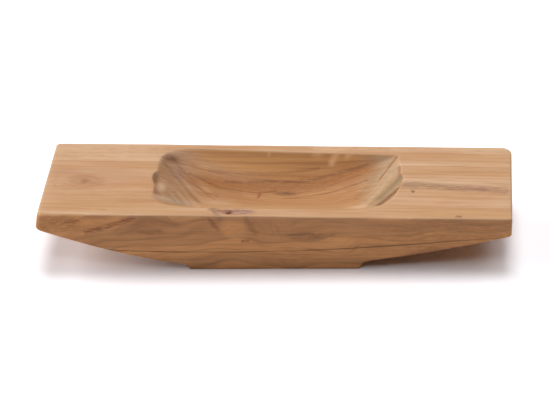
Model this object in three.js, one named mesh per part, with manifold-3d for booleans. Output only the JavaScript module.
// A long bowl hewn from one block of wood: a flat-topped block with a boat-shaped underside, a low foot
// to stand on, a carved hollow in the middle and a solid wing at each end to lift it by.
// Millimetres, +Z up. The origin is level with the foot's flat bottom, under the middle of the bowl's overall
// length and width. +X runs along the bowl to the right, and -Y is the front.

import * as THREE from 'three';
import { mergeVertices } from 'three/addons/utils/BufferGeometryUtils.js';
import Module from 'manifold-3d';

// The block
const blockLength = 500; // tip to tip
const blockWidth = 137; // front face to back face
const blockHeight = 68.4; // foot to flat top, half way along
const topFall = 9.6; // how much lower the flat top is at the right tip than at the left one
const endSkew = 7.2; // how far the back of the block is shifted to the right of its front
const edgeEase = 2.2; // radius of the eased long edges
const frontLeftEase = 3.4; // the worn front edge of the top, at the left tip
const wornLength = 110; // how far that worn stretch runs in from the left tip
const tipEase = 2.6; // radius of the eased edges across each tip
const frontLeftCorner = 5; // corner radii seen from above
const frontRightCorner = 3;
const backLeftCorner = 4;
const backRightCorner = 11;

// The underside
const leftTipThickness = 19.8;
const rightTipThickness = 22.8;
const leftTipLean = 3.4; // how far the left tip's lower edge stands out past its upper edge
const leftLeanReach = 45; // how far in from the left tip that lean dies out
const leftSweep = 153; // from the left tip to the top of the foot's left step
const rightSweep = 143; // from the right tip to the top of the foot's right cove
const leftSweepBulge = 5.5; // how far the swept underside hangs below a straight line
const rightSweepBulge = 1.6;
const leftStepRise = 6.6; // the low step at the left of the foot
const leftStepRun = 5;
const rightCoveRise = 11; // the taller hollow cove at the right of the foot
const rightCoveRun = 17;

// The hollow
const leftWing = 117; // flat top left of the hollow
const rightWing = 118;
const backRim = 7.5; // flat top behind the hollow, at the left of the back rim
const backRimGrowth = 10; // how much wider the back rim is at its right end
const frontRim = 10.5; // flat top in front of the hollow, at the right of the front rim
const frontRimGrowth = 6; // how much wider the front rim is at its left end
const rightSideLean = 5; // how far the right side of the hollow leans in towards the back
const deepestShift = 12; // how far right of the rim's middle the deepest point lies
const deepestBack = 13; // how far behind the middle of the block it lies
const floorThickness = 40.4; // wood left under the deepest point of the hollow
const wallPower = 1.6; // 1 gives straight walls down to a point and 2 round ones
// Fullness towards each side: below 1 the wall is steeper at the rim, above 1 the rim softens to a lip
const endFullness = 0.8;
const backFullness = 1;
const frontFullness = 1.25;
const rimHold = 3; // how soon the rim's corners die out into an oval floor; more is sooner
const cornerCuts = { // how far each rounded corner of the rim reaches along its two sides
  backLeft: { along: 42, across: 28 },
  backRight: { along: 4, across: 4 },
  frontRight: { along: 66, across: 61 },
  frontLeft: { along: 52, across: 24 },
};

// The gouge strokes that finish the two ends of the hollow. Each is a long dished cut that lies along the
// end wall and runs inwards, turned towards the front.
const leftStrokes = {
  ballLength: 96, // sizes of the stretched ball that makes the cut
  ballWidth: 38,
  ballThickness: 24,
  turn: 47, // degrees from straight inwards to straight towards the front
  bites: [ // inwards: from the left end of the rim; across: from front to back; bite: depth of the cut
    { inwards: 34, across: 22, bite: 1.1 },
    { inwards: 25, across: 4, bite: 1.3 },
    { inwards: 17, across: -14, bite: 1.3 },
  ],
};
const rightStrokes = {
  ballLength: 84,
  ballWidth: 34,
  ballThickness: 24,
  turn: 58,
  bites: [ // inwards: from the right end of the rim
    { inwards: 28, across: 18, bite: 1.1 },
    { inwards: 17, across: 5, bite: 1.4 },
    { inwards: 11, across: -13, bite: 1.3 },
  ],
};

// How finely the shapes are cut
const easeSteps = 3; // straight pieces in a quarter-round edge
const tipSteps = 6; // stations in the rounding of each tip
const sweepSteps = 16; // stations along each swept underside
const coveSteps = 5; // stations in the foot's step and cove
const rimSteps = 12; // pieces in each rounded corner of the rim
const rimSideSteps = 8; // pieces along each straight side of the rim
const hollowRings = 14; // levels of the hollow from rim to floor
const ballSteps = 28; // pieces around the ball of a gouge stroke
const ballRows = 18; // pieces from pole to pole of that ball
const clearAbove = 20; // how far the cutters reach above the flat top
const stationGap = 1; // least gap between a station of the sweep and the rounding of the tip
const mergeWithin = 1e-4; // points closer together than this are one point

const wood = new THREE.MeshStandardMaterial({ color: 0xb98a5e, roughness: 0.62, metalness: 0 });

const wasm = await Module();
wasm.setup();

const halfLength = blockLength / 2;
const halfWidth = blockWidth / 2;
const hollowDepth = blockHeight - floorThickness;

// Joins closed rings with equally many points into one closed body with a flat cap at each end.
function loft(rings) {
  const around = rings[0].length;
  const points = rings.flat();
  const triangles = [];
  for (let k = 0; k + 1 < rings.length; k += 1) {
    for (let i = 0; i < around; i += 1) {
      const a = k * around + i;
      const b = k * around + ((i + 1) % around);
      triangles.push(a, b, b + around, a, b + around, a + around);
    }
  }
  for (const [first, flip] of [[0, true], [(rings.length - 1) * around, false]]) {
    const middle = points.length;
    const centre = new THREE.Vector3();
    for (let i = 0; i < around; i += 1) centre.addScaledVector(points[first + i], 1 / around);
    points.push(centre);
    for (let i = 0; i < around; i += 1) {
      const a = first + i;
      const b = first + ((i + 1) % around);
      triangles.push(...(flip ? [b, a, middle] : [a, b, middle]));
    }
  }
  const geometry = new THREE.BufferGeometry().setFromPoints(points);
  geometry.setIndex(triangles);
  return geometry;
}

// A closed geometry as a manifold-3d solid.
function toSolid(geometry) {
  const plain = geometry.clone();
  plain.deleteAttribute('normal');
  plain.deleteAttribute('uv');
  const merged = mergeVertices(plain, mergeWithin);
  return new wasm.Manifold(new wasm.Mesh({
    numProp: 3,
    vertProperties: new Float32Array(merged.attributes.position.array),
    triVerts: new Uint32Array(merged.index.array),
  }));
}

// A manifold-3d solid as a three.js geometry.
function toGeometry(solid) {
  const mesh = solid.getMesh();
  const geometry = new THREE.BufferGeometry();
  geometry.setAttribute('position', new THREE.BufferAttribute(new Float32Array(mesh.vertProperties), 3));
  geometry.setIndex(new THREE.BufferAttribute(new Uint32Array(mesh.triVerts), 1));
  geometry.computeVertexNormals();
  return geometry;
}

// How far a quarter-round edge pulls a face in, a given way from the end of the block.
function roundedInset(radius, fromEnd) {
  const within = Math.max(0, radius - fromEnd);
  return radius - Math.sqrt(radius ** 2 - within ** 2);
}

// Height of the sloping flat top above the foot.
function topHeight(x) {
  return blockHeight - (topFall * x) / blockLength;
}

// Height of a swept wing's underside, t from 0 at the foot to 1 at the tip.
function sweepHeight(t, low, high, bulge) {
  return low + (high - low) * t - 4 * bulge * t * (1 - t);
}

// Stations along the block, each with its place and the height of the underside there.
function undersideStations() {
  const leftStep = -halfLength + leftSweep;
  const rightCove = halfLength - rightSweep;
  const leftTip = topHeight(-halfLength) - leftTipThickness;
  const rightTip = topHeight(halfLength) - rightTipThickness;
  const stations = [];
  for (let i = 0; i <= sweepSteps; i += 1) {
    const t = 1 - i / sweepSteps;
    const z = sweepHeight(t, leftStepRise, leftTip, leftSweepBulge);
    stations.push({ x: leftStep - t * leftSweep, z });
  }
  for (let i = 1; i <= coveSteps; i += 1) {
    const turn = (i / coveSteps) * (Math.PI / 2);
    stations.push({ x: leftStep + leftStepRun * Math.sin(turn), z: leftStepRise * Math.cos(turn) });
  }
  for (let i = 0; i <= coveSteps; i += 1) {
    const turn = (i / coveSteps) * (Math.PI / 2);
    stations.push({
      x: rightCove - rightCoveRun * Math.cos(turn),
      z: rightCoveRise * Math.sin(turn),
    });
  }
  for (let i = 1; i <= sweepSteps; i += 1) {
    const t = i / sweepSteps;
    const z = sweepHeight(t, rightCoveRise, rightTip, rightSweepBulge);
    stations.push({ x: rightCove + t * rightSweep, z });
  }
  return stations;
}

// One cross-section of the block as a ring with eased corners, seen from the right tip.
function blockSection({ x, z }) {
  const fromLeft = x + halfLength;
  const fromRight = halfLength - x;
  const wear = Math.max(0, 1 - fromLeft / wornLength);
  const frontInset = roundedInset(frontLeftCorner, fromLeft) + roundedInset(frontRightCorner, fromRight);
  const backInset = roundedInset(backLeftCorner, fromLeft) + roundedInset(backRightCorner, fromRight);
  const front = -halfWidth + frontInset;
  const back = halfWidth - backInset;
  const tip = roundedInset(tipEase, Math.min(fromLeft, fromRight));
  const top = topHeight(x) - tip;
  const bottom = z + tip;
  const corners = [
    { y: front, z: bottom, inY: 1, inZ: 1, ease: edgeEase },
    { y: back, z: bottom, inY: -1, inZ: 1, ease: edgeEase },
    { y: back, z: top, inY: -1, inZ: -1, ease: edgeEase },
    { y: front, z: top, inY: 1, inZ: -1, ease: edgeEase + (frontLeftEase - edgeEase) * wear },
  ];
  const ring = [];
  corners.forEach((corner, k) => {
    for (let i = 0; i <= easeSteps; i += 1) {
      const turn = (i / easeSteps) * (Math.PI / 2);
      const a = corner.ease * (1 - Math.sin(turn));
      const b = corner.ease * (1 - Math.cos(turn));
      const [inY, inZ] = k % 2 === 0 ? [b, a] : [a, b];
      ring.push(new THREE.Vector3(x, corner.y + corner.inY * inY, corner.z + corner.inZ * inZ));
    }
  });
  return ring;
}

// Leans the left tip out towards its lower edge, less and less further in along the block.
function leanLeftTip(geometry) {
  const points = geometry.attributes.position;
  for (let i = 0; i < points.count; i += 1) {
    const x = points.getX(i);
    const nearTip = THREE.MathUtils.clamp(1 - (x + halfLength) / leftLeanReach, 0, 1);
    const belowTop = THREE.MathUtils.clamp((topHeight(x) - points.getZ(i)) / leftTipThickness, 0, 1);
    points.setX(i, x - leftTipLean * nearTip * belowTop);
  }
}

// The block before it is hollowed, with its tips eased and its ends sawn a little out of square.
function makeBlock() {
  const stations = undersideStations();
  const easeReach = Math.max(tipEase, frontLeftCorner, frontRightCorner, backLeftCorner, backRightCorner);
  const heightAt = (x) => {
    const next = stations.findIndex((s) => s.x >= x);
    const [a, b] = [stations[Math.max(0, next - 1)], stations[next]];
    return a === b ? b.z : THREE.MathUtils.mapLinear(x, a.x, b.x, a.z, b.z);
  };
  const rounding = [];
  for (let i = 1; i <= tipSteps; i += 1) {
    const fromEnd = easeReach * (1 - Math.cos((i / tipSteps) * (Math.PI / 2)));
    for (const x of [-halfLength + fromEnd, halfLength - fromEnd]) rounding.push({ x, z: heightAt(x) });
  }
  const inside = stations.filter((s) => Math.abs(s.x) < halfLength - easeReach - stationGap);
  const ends = [stations[0], stations[stations.length - 1]];
  const sections = [...inside, ...rounding, ...ends].sort((a, b) => a.x - b.x).map(blockSection);
  const geometry = loft(sections);
  leanLeftTip(geometry);
  geometry.applyMatrix4(new THREE.Matrix4().makeShear(0, 0, endSkew / blockWidth, 0, 0, 0));
  return toSolid(geometry);
}

// The outline of the hollow at the flat top, as points in the XY plane.
function rimOutline() {
  const left = -halfLength + leftWing;
  const right = halfLength - rightWing;
  const corners = [
    { x: left, y: -halfWidth + frontRim + frontRimGrowth, ...cornerCuts.frontLeft },
    { x: right, y: -halfWidth + frontRim, ...cornerCuts.frontRight },
    { x: right - rightSideLean, y: halfWidth - backRim - backRimGrowth, ...cornerCuts.backRight },
    { x: left, y: halfWidth - backRim, ...cornerCuts.backLeft },
  ];
  const outline = [];
  corners.forEach((corner, k) => {
    const here = new THREE.Vector2(corner.x, corner.y);
    const before = new THREE.Vector2().copy(corners[(k + 3) % 4]).sub(here).normalize();
    const after = new THREE.Vector2().copy(corners[(k + 1) % 4]).sub(here).normalize();
    const runsAcross = k % 2 === 0;
    const start = here.clone().addScaledVector(before, runsAcross ? corner.across : corner.along);
    const end = here.clone().addScaledVector(after, runsAcross ? corner.along : corner.across);
    outline.push(...new THREE.QuadraticBezierCurve(start, here, end).getPoints(rimSteps));
    const next = corners[(k + 1) % 4];
    const nextHere = new THREE.Vector2(next.x, next.y);
    const nextReach = runsAcross ? next.along : next.across;
    const nextStart = nextHere.clone().addScaledVector(after, -nextReach);
    for (let i = 1; i < rimSideSteps; i += 1) outline.push(end.clone().lerp(nextStart, i / rimSideSteps));
  });
  return outline;
}

// The main hollow as a cutter: the rim's outline drawn in towards the middle as it goes down, while its
// corners die out into an oval.
function makeHollowCutter() {
  const outline = rimOutline();
  const middle = new THREE.Vector2((leftWing - rightWing) / 2 + deepestShift, deepestBack);
  const leftReach = halfLength - leftWing + middle.x;
  const rightReach = halfLength - rightWing - middle.x;
  const backReach = halfWidth - backRim - backRimGrowth / 2 - middle.y;
  const frontReach = halfWidth - frontRim - frontRimGrowth / 2 + middle.y;
  const ringAt = (share, depth) => outline.map((p) => {
    const out = p.clone().sub(middle);
    const endwise = (out.x / out.length()) ** 2;
    const fullness = THREE.MathUtils.lerp(out.y > 0 ? backFullness : frontFullness, endFullness, endwise);
    const drop = depth * (1 - share ** wallPower) ** fullness;
    const alongReach = out.x < 0 ? leftReach : rightReach;
    const acrossReach = out.y < 0 ? frontReach : backReach;
    const oval = out.clone().divideScalar(Math.hypot(out.x / alongReach, out.y / acrossReach));
    const q = oval.lerp(out, share ** rimHold).multiplyScalar(share).add(middle);
    return new THREE.Vector3(q.x, q.y, topHeight(q.x) - drop);
  });
  const rings = [];
  for (let k = 1; k <= hollowRings; k += 1) {
    const share = Math.sin((k / hollowRings) * (Math.PI / 2));
    rings.push(ringAt(share, hollowDepth));
  }
  rings.push(ringAt(1, 0).map((p) => p.setZ(p.z + clearAbove)));
  return toSolid(loft(rings));
}

// The cutters of the gouge strokes at one end of the hollow, side -1 for the left and 1 for the right. Each
// is a stretched ball laid along the hollow's surface, sunk into it by its bite.
function makeStrokeCutters(side, hollow, { ballLength, ballWidth, ballThickness, turn, bites }) {
  const surface = new THREE.Mesh(toGeometry(hollow), new THREE.MeshBasicMaterial({ side: THREE.DoubleSide }));
  const heading = THREE.MathUtils.degToRad(turn);
  const straight = new THREE.Vector3(-side * Math.cos(heading), -Math.sin(heading), 0);
  const end = side * (halfLength - (side < 0 ? leftWing : rightWing));
  const up = new THREE.Vector3(0, 0, 1);
  return bites.map(({ inwards, across, bite }) => {
    const below = new THREE.Vector3(end - side * inwards, across, 0);
    const [hit] = new THREE.Raycaster(below, up).intersectObject(surface);
    const outOfWood = hit.face.normal.clone().multiplyScalar(Math.sign(hit.face.normal.z));
    const along = straight.clone().addScaledVector(outOfWood, -straight.dot(outOfWood)).normalize();
    const acrossStroke = outOfWood.clone().cross(along);
    const ball = new THREE.SphereGeometry(0.5, ballSteps, ballRows);
    ball.scale(ballLength, ballWidth, ballThickness);
    ball.applyMatrix4(new THREE.Matrix4().makeBasis(along, acrossStroke, outOfWood));
    const centre = hit.point.clone().addScaledVector(outOfWood, ballThickness / 2 - bite);
    ball.translate(centre.x, centre.y, centre.z);
    return toSolid(ball);
  });
}

// The whole bowl, set with its overall middle over the origin.
function makeBowl() {
  const hollow = makeHollowCutter();
  const strokes = makeStrokeCutters(-1, hollow, leftStrokes);
  strokes.push(...makeStrokeCutters(1, hollow, rightStrokes));
  let solid = makeBlock().subtract(hollow);
  for (const stroke of strokes) solid = solid.subtract(stroke);
  const geometry = toGeometry(solid);
  geometry.computeBoundingBox();
  const middle = geometry.boundingBox.getCenter(new THREE.Vector3());
  geometry.translate(-middle.x, -middle.y, 0);
  const bowl = new THREE.Mesh(geometry, wood);
  bowl.name = 'bowl';
  return bowl;
}

const object = new THREE.Group();
object.add(makeBowl());

export default object;
